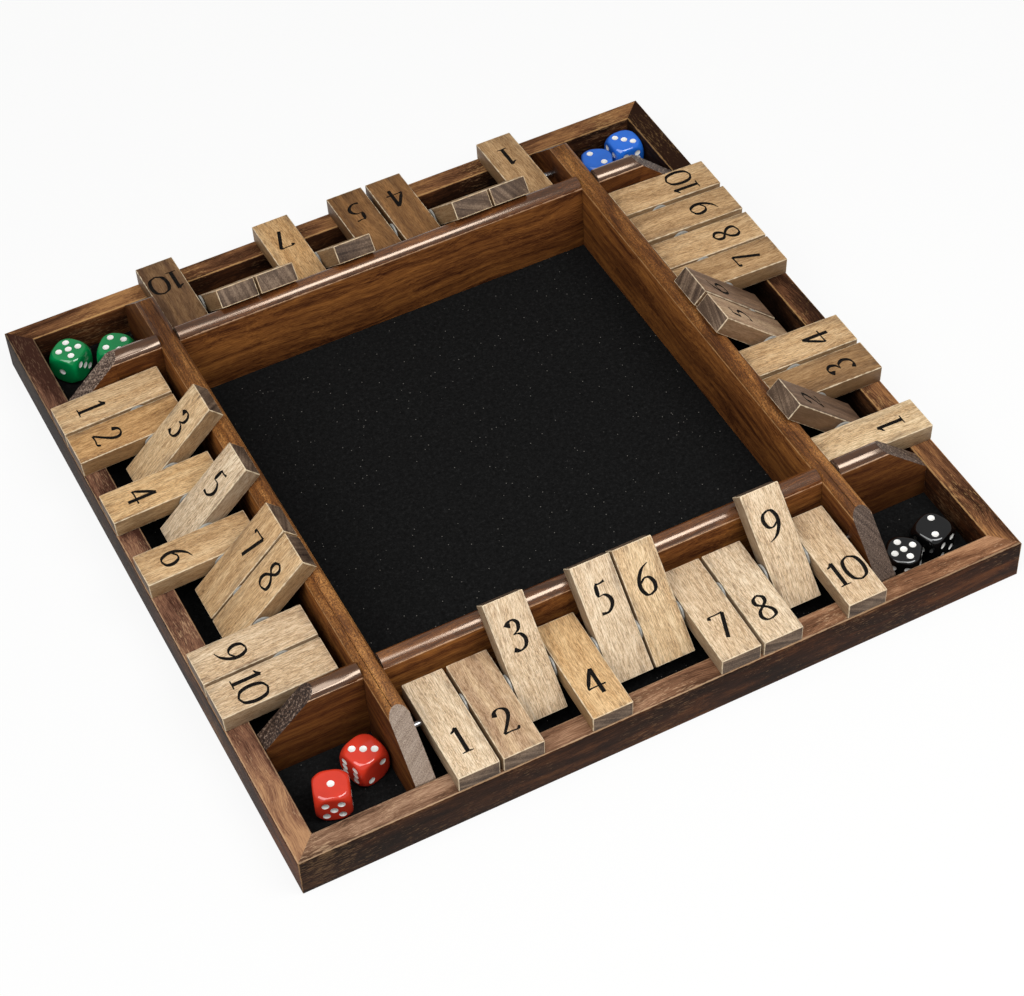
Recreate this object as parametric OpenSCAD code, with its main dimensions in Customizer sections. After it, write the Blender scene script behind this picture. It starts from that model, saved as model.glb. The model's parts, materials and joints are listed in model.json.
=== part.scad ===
// Four-player shut the box: a square tray with a row of ten hinged number tiles
// on each side, a felt rolling floor in the middle and a dice pocket in each corner.
// Millimetres, +Z up. The origin is the centre of the underside, on the table.
// The front row faces -Y; the right, back and left rows follow anticlockwise.

/* [Case] */
// Outer side of the square frame
case_side = 350; // [330:1:420]
// Thickness of a frame rail, from its outer to its inner face
rail_w = 11.4; // [9:0.1:16]
// Height of a frame rail
rail_h = 21.6; // [18:0.1:28]
// Radius of the worn top edges of the rails
rail_round = 1.2; // [0.4:0.1:3]

/* [Floor] */
// Thickness of the base panel
base_t = 3; // [2:0.1:5]
// Thickness of the felt glued to the panel
felt_t = 1; // [0.5:0.1:2]
// How far the panel and felt run into the rebate under the rails
rebate_w = 5; // [3:0.1:7]
// Gap round the panel and felt in that rebate
panel_gap = 0.2; // [0.1:0.05:0.4]

/* [Dividers] */
// Thickness of a divider board
wall_t = 9.4; // [7:0.1:11]
// Width of the trough between a divider and the rail, which is also the side of a dice pocket
trough_w = 46.9; // [44:0.1:52]
// Height of the divider ridge above the table
wall_top = 44.9; // [42:0.1:50]
// Rise of the rounded ridge above the flat side of a divider
crown_rise = 3.5; // [1:0.1:4.5]
// Length of the sloped end of a divider, from full height down to the rail
slope_run = 25.4; // [12:0.1:30]
// Gap on each side of a divider in the halving joint
halving_gap = 0.1; // [0.05:0.05:0.3]

/* [Tiles] */
// Thickness of a number tile
tile_t = 9.1; // [7:0.1:9.2]
// Length of a tile behind its rod, towards the blank end
tail_l = 18.1; // [14:0.1:19]
// Gap that the blank end of a tile keeps from the divider as it swings past it
swing_gap = 3.9; // [1:0.1:5]
// Slope of an open tile in degrees, down from its rod to the outer edge of the rail
open_slope = 2; // [0:0.1:3]
// Small chamfer across the ends of the tile
end_chamfer = 0.5; // [0.1:0.05:1]
// Free play of a row of tiles along its rod, in all
end_play = 12.7; // [10:0.1:16]
// Gap kept between a resting tile and the rail or divider that stops it
seat_gap = 0.1; // [0.05:0.05:0.3]

/* [Rods and washers] */
// Diameter of the steel pivot rods
rod_d = 3; // [2:0.1:4]
// Depth of the blind rod sockets in the dividers
rod_socket = 6; // [3:0.1:6.5]
// Radial gap between a rod and its socket or a washer
rod_gap = 0.05; // [0.02:0.01:0.1]
// Radial running clearance between a rod and the bore of a tile
hinge_clear = 0.08; // [0.02:0.01:0.1]
// Outer diameter of the spacer washers
washer_d = 9.4; // [7:0.1:10]
// Thickness of the spacer washers
washer_t = 0.9; // [0.5:0.05:1.5]
// Slack beside each washer
washer_slack = 0.2; // [0.1:0.05:0.5]

/* [Dice] */
// Side of a die
die_side = 16; // [12:0.5:16]
// How far the rounding cuts each corner back, along the diagonal of the die
die_corner = 2.1; // [0.5:0.1:2.2]
// Diameter of a pip at the surface
pip_d = 3.3; // [2:0.1:3.6]
// Depth of a pip
pip_depth = 0.5; // [0.2:0.05:0.8]
// Offset of the outer pips from the middle of a face
pip_pitch = 3.4; // [2.4:0.1:3.6]

/* [Play] */
// Tiles that are shut, leaning on the divider, in the front row
shut_front = [3, 5, 6, 9];
// Tiles that are shut in the right row
shut_right = [2, 5, 6];
// Tiles that are shut in the back row
shut_back = [2, 3, 6, 8, 9];
// Tiles that are shut in the left row
shut_left = [3, 5, 7, 8];

/* [Hidden] */
ROWS = ["front", "right", "back", "left"];
SHUT = [shut_front, shut_right, shut_back, shut_left];
TILES = 10;

// How the tiles of each row have slid along their rod: the parts of the end play that lie before
// tile 1, after each of the tiles 1 to 9, and after tile 10
PLAY = [
    [104, 11, 11, 12, 7, 3, 11, 9, 24, 6, 56],
    [78, 16, 23, 20, 10, 9, 26, 2, 35, 28, 7],
    [124, 13, 1, 21, 23, 1, 1, 1, 1, 25, 43],
    [15, 10, 8, 16, 12, 5, 4, 1, 23, 9, 151]
];

// Dice: name, colour, corner pocket, place in it as shares of its width from the divider to the
// rail, turn in degrees, and the values on the top, front and right faces
DICE = [
    ["die_red_1", "#d9281e", [-1, -1], [0.635, 0.584], -18.8, [1, 5, 4]],
    ["die_red_2", "#d9281e", [-1, -1], [0.222, 0.38], 16.4, [3, 2, 1]],
    ["die_black_1", "#17171a", [1, -1], [0.254, 0.751], -41.4, [5, 6, 4]],
    ["die_black_2", "#17171a", [1, -1], [0.652, 0.644], 22.9, [2, 4, 6]],
    ["die_blue_1", "#2a6fe0", [1, 1], [0.418, 0.629], 67.1, [2, 6, 3]],
    ["die_blue_2", "#2a6fe0", [1, 1], [0.819, 0.748], 1, [3, 6, 2]],
    ["die_green_1", "#17a05c", [-1, 1], [0.738, 0.723], 39.8, [5, 3, 6]],
    ["die_green_2", "#17a05c", [-1, 1], [0.286, 0.565], 50.7, [4, 1, 2]]
];

// Heights
floor_z = base_t + felt_t;
spring_z = wall_top - crown_rise;

// Plan
case_half = case_side / 2;
rail_in = case_half - rail_w;
wall_out = rail_in - trough_w;
wall_in = wall_out - wall_t;
wall_mid = wall_in + wall_t / 2;
panel_side = 2 * (rail_in + rebate_w - panel_gap);

// Tiles: the rod lies where the tail swings clear of the divider. An open tile rests on the rounded
// outer edge of the rail, and its number end is flush with the outside of the rail
pivot_out = wall_out + swing_gap + norm([tail_l, tile_t / 2]);
pivot_reach = (case_half - pivot_out) / cos(open_slope) - tile_t / 2 * tan(open_slope);
pivot_z = rail_h - rail_round + (case_half - rail_round - pivot_out) * tan(open_slope)
    + (tile_t / 2 + rail_round + seat_gap) / cos(open_slope);
tile_w = (2 * wall_in - end_play - (TILES - 1) * (washer_t + washer_slack)) / TILES;

// Ridge of a divider: an arc through the top of both flat sides
crown_r = (pow(wall_t / 2, 2) + pow(crown_rise, 2)) / (2 * crown_rise);
crown_z = wall_top - crown_r;

// Lean of a shut tile: its straight face is tangent to the ridge arc
lean_run = pivot_out - wall_mid;
lean_rise = crown_z - pivot_z;
lean = atan2(lean_rise, lean_run)
    + asin((tile_t / 2 + seat_gap + crown_r) / norm([lean_run, lean_rise]));

// Height at which two crossing dividers are halved
halving_z = (floor_z + spring_z) / 2;

// Overshoot of the cutting bodies
cut = 1;
// Smoothness of the round surfaces
$fn = 64;

function has(list, value) = len([for (v = list) if (v == value) v]) > 0;
function sum(list, count) = count == 0 ? 0 : list[count - 1] + sum(list, count - 1);
function tile_left(row, n) = -wall_in + (n - 1) * (tile_w + washer_t + washer_slack)
    + end_play * sum(PLAY[row], n) / sum(PLAY[row], TILES + 1);

// Moves what is drawn for the front row to the given row
module in_row(row) {
    rotate([0, 0, 90 * row]) children();
}

// Draws a section, given as distance from the centre and height, along the front side
module along_front(length) {
    rotate([90, 0, -90]) translate([0, 0, -length / 2]) linear_extrude(length) children();
}

// Section of a rail: rounded top edges, and a rebate under the inner edge for the panel
module rail_section() {
    difference() {
        union() {
            translate([rail_in, 0]) square([rail_w, rail_h - rail_round]);
            translate([rail_in + rail_round, 0]) square([rail_w - 2 * rail_round, rail_h]);
            for (x = [rail_in + rail_round, case_half - rail_round])
                translate([x, rail_h - rail_round]) circle(rail_round);
        }
        translate([rail_in - cut, -cut]) square([rebate_w + cut, floor_z + cut]);
    }
}

// Frame rail with mitred ends
module rail(row) {
    color("#6b4226") in_row(row) intersection() {
        along_front(case_side) rail_section();
        linear_extrude(rail_h + cut)
            polygon([[0, 0], [-case_half, -case_half], [case_half, -case_half]]);
    }
}

// Base panel, captured in the rebate of the rails
module base_panel() {
    color("#8d7458") translate([-panel_side / 2, -panel_side / 2, 0])
        cube([panel_side, panel_side, base_t]);
}

// Felt sheet, glued over the whole panel
module felt_lining() {
    color("#17171a") translate([-panel_side / 2, -panel_side / 2, base_t])
        cube([panel_side, panel_side, felt_t]);
}

// Section of a divider: flat sides under a rounded ridge
module divider_section() {
    translate([wall_in, floor_z]) square([wall_t, spring_z - floor_z]);
    intersection() {
        translate([wall_mid, crown_z]) circle(crown_r);
        translate([wall_in, (floor_z + spring_z) / 2]) square([wall_t, wall_top]);
    }
}

// Side view of a divider: full height in the middle, sloped down to the rails at its ends
module divider_outline() {
    run_up = slope_run * (wall_top + cut - rail_h) / (wall_top - rail_h);
    polygon([
        [-rail_in, floor_z], [rail_in, floor_z],
        [rail_in, rail_h], [rail_in - run_up, wall_top + cut],
        [run_up - rail_in, wall_top + cut], [-rail_in, rail_h]
    ]);
}

// Divider board. The side boards run over the front and back ones, halved at each crossing,
// and every board holds the rod ends of the two rows that end on it
module divider(row) {
    over = row == 1 || row == 3;
    notch_w = wall_t + 2 * halving_gap;
    notch_low = over ? floor_z - cut : halving_z - halving_gap;
    notch_high = over ? halving_z : wall_top + cut;
    color("#6b4226") in_row(row) difference() {
        intersection() {
            along_front(2 * rail_in) divider_section();
            translate([0, -wall_in + cut, 0]) rotate([90, 0, 0])
                linear_extrude(wall_t + 2 * cut) divider_outline();
        }
        for (side = [-1, 1]) {
            translate([side * wall_mid - notch_w / 2, -wall_in - wall_t - cut, notch_low])
                cube([notch_w, wall_t + 2 * cut, notch_high - notch_low]);
            translate([side * pivot_out, -wall_in - rod_socket, pivot_z]) rotate([-90, 0, 0])
                cylinder(h = rod_socket + cut, r = rod_d / 2 + rod_gap);
        }
    }
}

// Steel rods that the tiles turn on, one for each row
module pivot_rods() {
    rod_l = 2 * (wall_in + rod_socket - seat_gap);
    color("#b9bbbd") for (row = [0:3])
        in_row(row) translate([0, -pivot_out, pivot_z]) rotate([0, 90, 0])
            cylinder(h = rod_l, d = rod_d, center = true);
}

// Washers that keep neighbouring tiles apart on their rod
module spacer_washers() {
    color("#e6e4dc") for (row = [0:3], n = [1:TILES - 1]) {
        x = (tile_left(row, n) + tile_w + tile_left(row, n + 1)) / 2;
        in_row(row) translate([x, -pivot_out, pivot_z]) rotate([0, 90, 0]) difference() {
            cylinder(h = washer_t, d = washer_d, center = true);
            cylinder(h = washer_t + 2 * cut, r = rod_d / 2 + rod_gap, center = true);
        }
    }
}

// Side view of a tile about its pivot, the number end at the right
module tile_outline() {
    top = tile_t / 2;
    inset = end_chamfer;
    polygon([
        [pivot_reach, inset - top], [pivot_reach, top - inset], [pivot_reach - inset, top],
        [inset - tail_l, top], [-tail_l, top - inset],
        [-tail_l, inset - top], [inset - tail_l, -top], [pivot_reach - inset, -top]
    ]);
}

// Number tile, open (lying out over the rail) or shut (leaning on the divider)
module tile(row, n) {
    turn = has(SHUT[row], n) ? 180 - lean : -open_slope;
    color("#c9a878") in_row(row) translate([tile_left(row, n) + tile_w / 2, 0, 0]) difference() {
        along_front(tile_w) translate([pivot_out, pivot_z]) rotate(turn) tile_outline();
        translate([0, -pivot_out, pivot_z]) rotate([0, 90, 0])
            cylinder(h = tile_w + 2 * cut, r = rod_d / 2 + hinge_clear, center = true);
    }
}

// Places of the pips on a face, in steps of the pip offset
function pip_places(value) = concat(
    value % 2 == 1 ? [[0, 0]] : [],
    value > 2 ? [[-1, 1], [1, -1]] : [],
    value == 2 || value > 3 ? [[-1, -1], [1, 1]] : [],
    value == 6 ? [[-1, 0], [1, 0]] : []
);

// Round hollows of the pips on the face whose outward direction is +Z
module pips(value) {
    ball_r = (pow(pip_d / 2, 2) + pow(pip_depth, 2)) / (2 * pip_depth);
    for (p = pip_places(value))
        translate([p.x * pip_pitch, p.y * pip_pitch, die_side / 2 + ball_r - pip_depth])
            sphere(ball_r);
}

// Die with rounded corners; opposite faces add up to seven
module die(spec) {
    corner = spec[2];
    share = spec[3];
    values = spec[5];
    sides = [[90, 0, 0], [90, 0, 90]];
    x = corner.x * (wall_out + share.x * trough_w);
    y = corner.y * (wall_out + share.y * trough_w);
    color(spec[1]) translate([x, y, floor_z + die_side / 2])
        rotate([0, 0, spec[4]]) difference() {
            intersection() {
                cube(die_side, center = true);
                sphere(die_side * sqrt(3) / 2 - die_corner);
            }
            pips(values[0]);
            rotate([180, 0, 0]) pips(7 - values[0]);
            for (i = [0, 1]) {
                rotate(sides[i]) pips(values[i + 1]);
                rotate(sides[i] + [0, 0, 180]) pips(7 - values[i + 1]);
            }
        }
}

for (row = [0:3]) {
    rail(row);
    divider(row);
    for (n = [1:TILES])
        tile(row, n);
}
base_panel();
felt_lining();
pivot_rods();
spacer_washers();
for (spec = DICE)
    die(spec);
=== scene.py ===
# %% [markdown]
# # A four-player shut the box
#
# A wooden tray with ten hinged number tiles on each side, a felt floor to roll on and a dice
# pocket in each corner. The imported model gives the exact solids. This script dresses them: it
# softens and wears the wood, burns the numbers into the tiles, rounds the dice, and gives each
# surface its finish. Blender works in metres. The sizes below are in millimetres, apart from
# those of the lamps, the paper and the camera.

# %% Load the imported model
import json
import math
import random
import bmesh
import bpy
from mathutils import Euler, Matrix, Vector


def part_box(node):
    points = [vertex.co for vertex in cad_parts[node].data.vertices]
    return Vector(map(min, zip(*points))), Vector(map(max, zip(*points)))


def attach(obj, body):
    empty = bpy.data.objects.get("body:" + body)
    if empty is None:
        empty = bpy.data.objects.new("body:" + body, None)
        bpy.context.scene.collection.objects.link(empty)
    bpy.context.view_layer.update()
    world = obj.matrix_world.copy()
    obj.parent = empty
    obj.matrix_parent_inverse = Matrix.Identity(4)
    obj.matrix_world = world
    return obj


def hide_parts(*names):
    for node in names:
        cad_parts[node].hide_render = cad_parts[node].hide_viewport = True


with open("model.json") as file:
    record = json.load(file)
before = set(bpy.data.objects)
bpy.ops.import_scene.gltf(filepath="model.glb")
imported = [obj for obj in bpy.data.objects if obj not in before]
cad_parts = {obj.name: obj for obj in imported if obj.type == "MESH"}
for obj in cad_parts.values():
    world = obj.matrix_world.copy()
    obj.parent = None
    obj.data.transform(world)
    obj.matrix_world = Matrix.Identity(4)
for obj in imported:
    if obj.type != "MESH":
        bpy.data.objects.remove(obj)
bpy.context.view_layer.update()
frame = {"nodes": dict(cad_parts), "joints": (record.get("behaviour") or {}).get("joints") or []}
MM = 0.001
ROWS = ["front", "right", "back", "left"]
NUMBERS = range(1, 11)


def size_of(node):
    """Lowest and highest corner of a CAD node, in millimetres."""
    return [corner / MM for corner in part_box(node)]


rail_low, rail_high = size_of("rail_front")
ridge_low, ridge_high = size_of("divider_front")
print("case", round(rail_high.x - rail_low.x, 1), "mm square")
print("rails", round(rail_high.z, 1), "mm high")

# %% [markdown]
# ## Sizes that the frame doesn't give
#
# A tile is a plain block on a steel rod. The frame's joints tell where each rod runs and how far
# a tile swings; the block's own thickness and the place of the rod along it are repeated here.
# The divider's rounded ridge starts at its spring line, below the crown.

# %% Sizes of the boards and the tiles
CASE_HALF = rail_high.x
RAIL_IN = CASE_HALF - (rail_high.y - rail_low.y)
RAIL_TOP = rail_high.z
WALL_IN = -ridge_high.y
WALL_OUT = -ridge_low.y
CROWN_RISE = 3.5
SPRING_Z = ridge_high.z - CROWN_RISE
ROD_R = 1.5
BORE_PLAY = 0.16
TILE_T = 9.1
TAIL = 18.1
OPEN_SLOPE = math.radians(2)

hinges = {joint["child"]: joint for joint in frame["joints"] if joint["type"] == "hinge"}
first_hinge = hinges["tile_front_1"]
PIVOT_OUT = -first_hinge["pos_m"][1] / MM
PIVOT_Z = first_hinge["pos_m"][2] / MM
SWING = math.radians(first_hinge["range_deg"][1])
TILE_W = size_of("tile_front_1")[1].x - size_of("tile_front_1")[0].x
REACH = (CASE_HALF - PIVOT_OUT) / math.cos(OPEN_SLOPE) - TILE_T / 2 * math.tan(OPEN_SLOPE)
TILE_MIDDLE = Vector(((REACH - TAIL) / 2, 0, 0))
TILE_HALF = Vector(((REACH + TAIL) / 2, TILE_W / 2, TILE_T / 2))
print("tile", round(TAIL + REACH, 1), "x", round(TILE_W, 1), "x", TILE_T, "mm")

# %% [markdown]
# The four sides of the tray are alike, so a place on one side is worked out by turning that side
# round to the front.

# %% Places along a side
def to_front(quarter):
    """Turns the side that lies this many quarter turns on round to the front."""
    return Matrix.Rotation(-quarter * math.pi / 2, 4, "Z")


def middles_along(quarter, row):
    """How far along its row the middle of each tile sits."""
    corners = [size_of(f"tile_{row}_{number}") for number in NUMBERS]
    return [(to_front(quarter) @ ((low + high) / 2)).x for low, high in corners]


first, second = middles_along(0, "front")[:2]
print("pitch of the tiles", round(second - first, 2), "mm")

# %% [markdown]
# ## Colour and nodes
#
# Colours are written as the sRGB hex values that a paint chart would give, and one function turns
# them into the linear values that a renderer works in. A second small function adds a node with
# its settings, its values and its links, so that a material reads like a recipe. Many nodes hold
# more sockets than a setting uses, so it only counts those in use: a mix has 0, how much; 1, the
# colour under; and 2, the colour over.

# %% Helpers for materials
def linear(hex_colour):
    """Linear RGBA of an sRGB hex colour."""
    channels = [int(hex_colour[i:i + 2], 16) / 255 for i in (1, 3, 5)]
    return [c / 12.92 if c <= 0.04045 else ((c + 0.055) / 1.055) ** 2.4 for c in channels] + [1]


def add(tree, kind, inputs=None, stops=None, **settings):
    """Adds a node: its settings, its colour stops, and its inputs by name or number. An input
    is a value, a socket, or another node, which stands for its first output in use."""
    node = tree.nodes.new("ShaderNode" + kind)
    for name, value in settings.items():
        setattr(node, name, value)
    used = [socket for socket in node.inputs if socket.enabled]
    names = [socket.name for socket in used]
    for key, value in (inputs or {}).items():
        socket = used[key if isinstance(key, int) else names.index(key)]
        if isinstance(value, bpy.types.Node):
            value = next(output for output in value.outputs if output.enabled)
        if isinstance(value, bpy.types.NodeSocket):
            tree.links.new(value, socket)
        else:
            socket.default_value = value
    if stops:
        elements = node.color_ramp.elements
        while len(elements) < len(stops):
            elements.new(1)
        for element, (place, colour) in zip(elements, stops):
            element.position = place
            element.color = linear(colour)
    return node


# %% [markdown]
# Every material starts the same way and ends the same way: the surface shader gets its colour,
# its gloss and, where the surface isn't smooth, a fine relief that only bends the light.

# %% Start and end of a material
def new_material(name):
    """An empty material, and its node tree."""
    material = bpy.data.materials.new(name)
    material.use_nodes = True
    return material, material.node_tree


def finish_surface(tree, colour, roughness, specular=0.5, relief=None, strength=0.5, depth=0.12):
    """Gives the surface shader its colour and gloss, and a relief with its depth in mm."""
    shader = tree.nodes["Principled BSDF"]
    tree.links.new(next(output for output in colour.outputs if output.enabled),
                   shader.inputs["Base Color"])
    shader.inputs["Roughness"].default_value = roughness
    shader.inputs["Specular IOR Level"].default_value = specular
    if relief:
        bump = add(tree, "Bump", {"Height": relief, "Strength": strength,
                                  "Distance": depth * MM})
        tree.links.new(bump.outputs["Normal"], shader.inputs["Normal"])
    return shader


# %% [markdown]
# ## Helpers for pieces
#
# Every piece is shaped as a bmesh in millimetres. The last step scales it to metres, so the
# finished object sits at the origin with its place in its mesh.

# %% Turn a shape into a piece
def new_mesh(name, shape, materials=()):
    """Stores a bmesh, which is used up, as a mesh with its materials."""
    mesh = bpy.data.meshes.new(name)
    shape.to_mesh(mesh)
    shape.free()
    for material in materials:
        mesh.materials.append(material)
    return mesh


def new_object(name, data):
    """Places an object in the scene."""
    made = bpy.data.objects.new(name, data)
    bpy.context.scene.collection.objects.link(made)
    return made


def make_piece(name, shape, materials, body, smooth=25):
    """Turns a bmesh in millimetres into a finished piece that rides on a body."""
    bmesh.ops.scale(shape, vec=(MM, MM, MM), verts=shape.verts)
    mesh = new_mesh(name, shape, materials)
    mesh.polygons.foreach_set("use_smooth", [True] * len(mesh.polygons))
    mesh.set_sharp_from_angle(angle=math.radians(smooth))
    piece = new_object(name, mesh)
    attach(piece, body)
    return piece


# %% [markdown]
# Wood needs to know which way its grain runs. An attribute called *arris* holds each point's
# place in its board, in millimetres, with X along the fibres, so a pattern turns with its board
# and wear can follow the edges. *grain* holds the same place in the board's own patch of timber,
# so that no two boards look alike. *tone* holds the board's own shade: higher is browner in the
# wood of the tiles, and paler in the stained wood of the case.

# %% Store the grain of a board
# A patch starts anywhere in a log of this size
TIMBER = 900
chance = random.Random(4)


def write_grain(mesh, to_board, offset, tone=0.5, far_tone=None):
    """Stores each point's place in its board, and the board's own tone, or one for each end."""
    places = [to_board @ (vertex.co / MM) for vertex in mesh.vertices]
    layers = {"arris": places, "grain": [place + offset for place in places]}
    for name, values in layers.items():
        layer = mesh.attributes.new(name, "FLOAT_VECTOR", "POINT")
        layer.data.foreach_set("vector", [number for value in values for number in value])
    layer = mesh.attributes.new("tone", "FLOAT", "POINT")
    far_tone = tone if far_tone is None else far_tone
    layer.data.foreach_set("value", [tone if place.x < 0 else far_tone for place in places])


# %% [markdown]
# Numbers and pips are cut out of solid shapes with an exact boolean, because a hollow that is
# real geometry keeps its edge from close by, where one in a bump map would blur.

# %% Copy and carve shapes
def add_copy(shape, mesh, place):
    """Adds a copy of a mesh to a shape, at a place."""
    before = len(shape.verts)
    shape.from_mesh(mesh)
    shape.verts.ensure_lookup_table()
    bmesh.ops.transform(shape, matrix=place, verts=shape.verts[before:])


def carve(shape, cutters, materials, crossing=False):
    """Cuts cutters out of a shape, which takes their materials there. crossing: they overlap."""
    blank = new_object("blank", new_mesh("blank", shape, materials))
    cutter = new_object("cutter", new_mesh("cutter", cutters, materials))
    cut = blank.modifiers.new("cut", "BOOLEAN")
    cut.operation = "DIFFERENCE"
    cut.solver = "EXACT"
    cut.use_self = crossing
    cut.object = cutter
    result = bmesh.new()
    result.from_object(blank, bpy.context.evaluated_depsgraph_get())
    for used in (blank, cutter):
        bpy.data.objects.remove(used)
    return result


# %% [markdown]
# ## Wood in general
#
# Fibres are tubes that run along the board, so every pattern in wood is a noise that is drawn out
# along X. They never run quite straight, so the place is first pushed sideways in slow waves. In
# end grain the growth rings show instead: a noise that only depends on the distance from the
# heart of the tree.

# %% Fibres and rings
def stored(tree, *names):
    """What a board stores of its points: places in mm, and its tone."""
    layers = [add(tree, "Attribute", attribute_name=name).outputs for name in names]
    return [layer["Fac" if name == "tone" else "Vector"] for name, layer in zip(names, layers)]


def bend_grain(tree, grain, waves, detail, sideways):
    """Pushes places sideways by up to so many mm, in so many waves to the mm."""
    drift = add(tree, "TexNoise", {"Vector": grain, "Scale": waves, "Detail": detail})
    bend = add(tree, "VectorMath", {0: drift.outputs["Color"], 1: (0, sideways, sideways)},
               operation="MULTIPLY")
    return add(tree, "VectorMath", {0: grain, 1: bend}, operation="ADD")


def fibrous(tree, place, along, across, detail=2, roughness=0.5):
    """A noise drawn out along the fibres: its waves to the mm along and across them."""
    drawn_out = add(tree, "Mapping", {"Vector": place, "Scale": (along, across, across)})
    return add(tree, "TexNoise", {"Vector": drawn_out, "Scale": 1, "Detail": detail,
                                  "Roughness": roughness})


def growth_rings(tree, grain, waves, detail):
    """Rings about the heart of the tree, with so many waves to the mm."""
    flat = add(tree, "VectorMath", {0: grain, 1: (0, 1, 1)}, operation="MULTIPLY")
    radius = add(tree, "VectorMath", {0: flat}, operation="LENGTH")
    return add(tree, "TexNoise", {"W": radius, "Scale": waves, "Detail": detail,
                                  "Roughness": 0.6}, noise_dimensions="1D")


# %% [markdown]
# ## Tile wood
#
# The tiles are rubberwood, sawn, tumbled and lightly waxed. It is a pale tan hardwood with soft
# bands a few millimetres wide, fine streaks, and open pores that show as short dark dashes. The
# fibre and pore widths are drawn about twice their real 0.1 mm, because finer ones would vanish
# in the render.
#
# Handling has changed each face. The arrises, the edges of the block, are rubbed pale and have
# left grime beside them. The long sides face their neighbours and are painted browner, as shade
# between the tiles and partly as grime that nothing rubs off. Both are drawn by the distance from
# the block's edge.

# %% Wear and painted shade of the tiles
def edge_distance(tree, place):
    """Distance in mm from the nearest edge of a tile: the second smallest depth of the three."""
    moved = add(tree, "VectorMath", {0: place, 1: TILE_MIDDLE}, operation="SUBTRACT")
    size = add(tree, "VectorMath", {0: moved}, operation="ABSOLUTE")
    depth = add(tree, "VectorMath", {0: TILE_HALF, 1: size}, operation="SUBTRACT")
    x, y, z = add(tree, "SeparateXYZ", {0: depth}).outputs
    low = add(tree, "Math", {0: x, 1: y}, operation="MINIMUM")
    high = add(tree, "Math", {0: x, 1: y}, operation="MAXIMUM")
    rest = add(tree, "Math", {0: high, 1: z}, operation="MINIMUM")
    return add(tree, "Math", {0: low, 1: rest}, operation="MAXIMUM")


def soil(tree, colour, grain, edge):
    """Grime in patches, within 5 mm of the edges."""
    patchy = fibrous(tree, grain, 0.05, 0.3, detail=4, roughness=0.65)
    near = add(tree, "MapRange", {"Value": edge, "From Min": 0.2, "From Max": 5,
                                  "To Min": 0.75, "To Max": 0})
    patch = add(tree, "MapRange", {"Value": patchy, "From Min": 0.5, "From Max": 0.68})
    grime = add(tree, "Math", {0: near, 1: patch}, operation="MULTIPLY")
    return add(tree, "Mix", {0: grime, 1: colour, 2: linear("#5f4a38")}, data_type="RGBA")


def leave_sides_brown(tree, colour, place):
    """Painted shade on the long sides, which face the next tiles, partly grime that nothing rubs
    off.
    """
    across = add(tree, "SeparateXYZ", {0: place}).outputs["Y"]
    aside = add(tree, "Math", {0: across}, operation="ABSOLUTE")
    side_shade = add(tree, "MapRange", {"Value": aside, "From Min": TILE_W / 2 - 0.4,
                                      "From Max": TILE_W / 2 - 0.05, "To Max": 0.6})
    return add(tree, "Mix", {0: side_shade, 1: colour, 2: linear("#644b32")}, data_type="RGBA")


def rub_edges(tree, colour, grain, edge):
    """Pale edges, half a millimetre wide, in an uneven line."""
    chips = add(tree, "TexNoise", {"Vector": grain, "Scale": 0.4, "Detail": 3})
    reach = add(tree, "MapRange", {"Value": chips, "From Min": 0.4, "From Max": 0.65,
                                   "To Min": 0.32, "To Max": 0.68})
    share = add(tree, "Math", {0: edge, 1: reach}, operation="DIVIDE")
    worn = add(tree, "MapRange", {"Value": share, "From Min": 0.3, "From Max": 1,
                                  "To Min": 0.85, "To Max": 0})
    return add(tree, "Mix", {0: worn, 1: colour, 2: linear("#ecd9b8")}, data_type="RGBA")


# %% [markdown]
# The wood itself is laid up as it grows: the tone of the board and its soft bands choose the
# base colour, streaks darken it, and pores crowd where the bands are dark.

# %% Rubberwood
def rubberwood(name, shades):
    """Waxed rubberwood: matt, with a relief of streaks and open pores."""
    material, tree = new_material(name)
    grain, place, tone = stored(tree, "grain", "arris", "tone")
    wavy = bend_grain(tree, grain, 0.02, 1, 7)
    bands = fibrous(tree, wavy, 0.014, 0.2)
    streaks = fibrous(tree, wavy, 0.2, 2.0, detail=5, roughness=0.75)
    pores = fibrous(tree, wavy, 0.55, 4.2, roughness=0.6)

    level = add(tree, "Math", {0: tone, 1: 0.8, 2: -0.15}, operation="MULTIPLY_ADD")
    banded = add(tree, "Math", {0: bands, 1: 0.5, 2: level}, operation="MULTIPLY_ADD")
    base = add(tree, "ValToRGB", {"Fac": banded},
               stops=[(0.2, shades[0]), (0.48, shades[1]), (0.72, shades[2]), (0.95, shades[3])])
    tint = add(tree, "ValToRGB", {"Fac": streaks},
               stops=[(0.34, "#8a7259"), (0.48, "#dccfbf"), (0.6, "#ffffff")])
    streaked = add(tree, "Mix", {0: 0.85, 1: base, 2: tint},
                   data_type="RGBA", blend_type="MULTIPLY")
    crowd = add(tree, "MapRange", {"Value": bands, "From Min": 0.35, "From Max": 0.65,
                                   "To Min": 0.25, "To Max": 0.85})
    open_pores = add(tree, "MapRange", {"Value": pores, "From Min": 0.55, "From Max": 0.66,
                                        "To Max": crowd})
    colour = add(tree, "Mix", {0: open_pores, 1: streaked, 2: linear("#5f442c")},
                 data_type="RGBA")

    edge = edge_distance(tree, place)
    colour = soil(tree, colour, grain, edge)
    # Painted shade: the long sides between the tiles are browner
    colour = leave_sides_brown(tree, colour, place)
    colour = rub_edges(tree, colour, grain, edge)
    relief = add(tree, "Math", {0: streaks, 1: open_pores}, operation="SUBTRACT")
    finish_surface(tree, colour, 0.55, 0.3, relief)
    return material


# %% [markdown]
# ## End grain and char
#
# The ends of the tiles show sawn end grain. Wax and dirt soak deep into the open tubes, so the
# ends are much darker and browner than the faces, and growth rings cross them as uneven bands.
# The numbers are branded into both faces with a hot iron: charred wood is matt and nearly black.

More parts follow.
